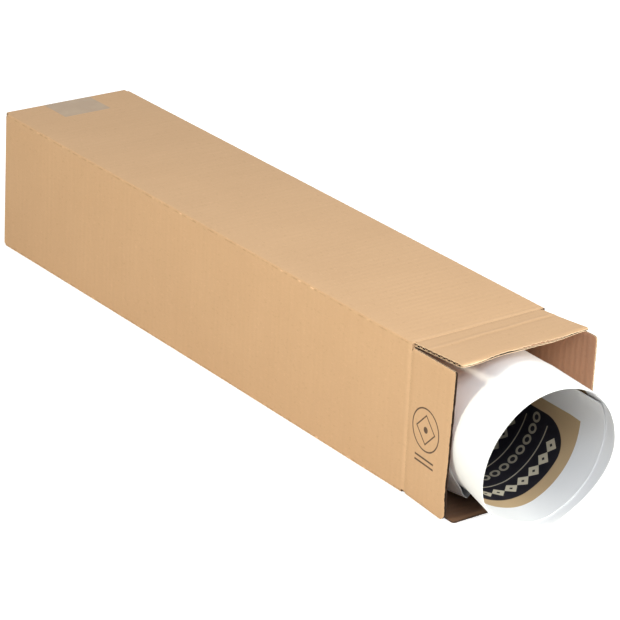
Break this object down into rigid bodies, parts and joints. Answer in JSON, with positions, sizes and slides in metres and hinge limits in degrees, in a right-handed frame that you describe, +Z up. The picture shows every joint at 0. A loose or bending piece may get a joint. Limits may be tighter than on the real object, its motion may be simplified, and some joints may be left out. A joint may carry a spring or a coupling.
{
  "type": "square cardboard mailing tube",
  "caption": "Long square corrugated mailing carton lying on one side, taped shut at one end, with hinged flaps at its open mouth and a rolled print inside.",
  "frame": {"origin": "centre of the carton body's bottom face, which it lies on", "axes": "+Z up, +Y along the carton from its open mouth to its closed end, +X to the right looking into the mouth"},
  "size_m": [0.1507, 0.74, 0.1357],
  "materials": {
    "kraft_board": "matt kraft liner",
    "flap_board": "matt kraft liner",
    "tape": "greyish translucent film",
    "print_paper": "smooth coated paper"
  },
  "bodies": {
    "carton": {"tube_body": "kraft_board", "closing_tape": "tape", "rolled_print": "print_paper"},
    "top_flap": {"top_flap": "flap_board"},
    "bottom_flap": {"bottom_flap": "flap_board"},
    "left_flap": {"left_flap": "flap_board"},
    "right_flap": {"right_flap": "flap_board"}
  },
  "joints": [
    {"name": "top_flap_hinge", "type": "hinge", "parent": "carton", "child": "top_flap", "pos_m": [0, -0.3108, 0.132], "axis": [-1, 0, 0], "range_deg": [-5, 165]},
    {"name": "bottom_flap_hinge", "type": "hinge", "parent": "carton", "child": "bottom_flap", "pos_m": [0, -0.3108, 0], "axis": [1, 0, 0], "range_deg": [0, 168]},
    {"name": "left_flap_hinge", "type": "hinge", "parent": "carton", "child": "left_flap", "pos_m": [-0.068, -0.3108, 0.066], "axis": [0, 0, -1], "range_deg": [0, 164]},
    {"name": "right_flap_hinge", "type": "hinge", "parent": "carton", "child": "right_flap", "pos_m": [0.068, -0.3108, 0.066], "axis": [0, 0, 1], "range_deg": [-18, 160]}
  ]
}
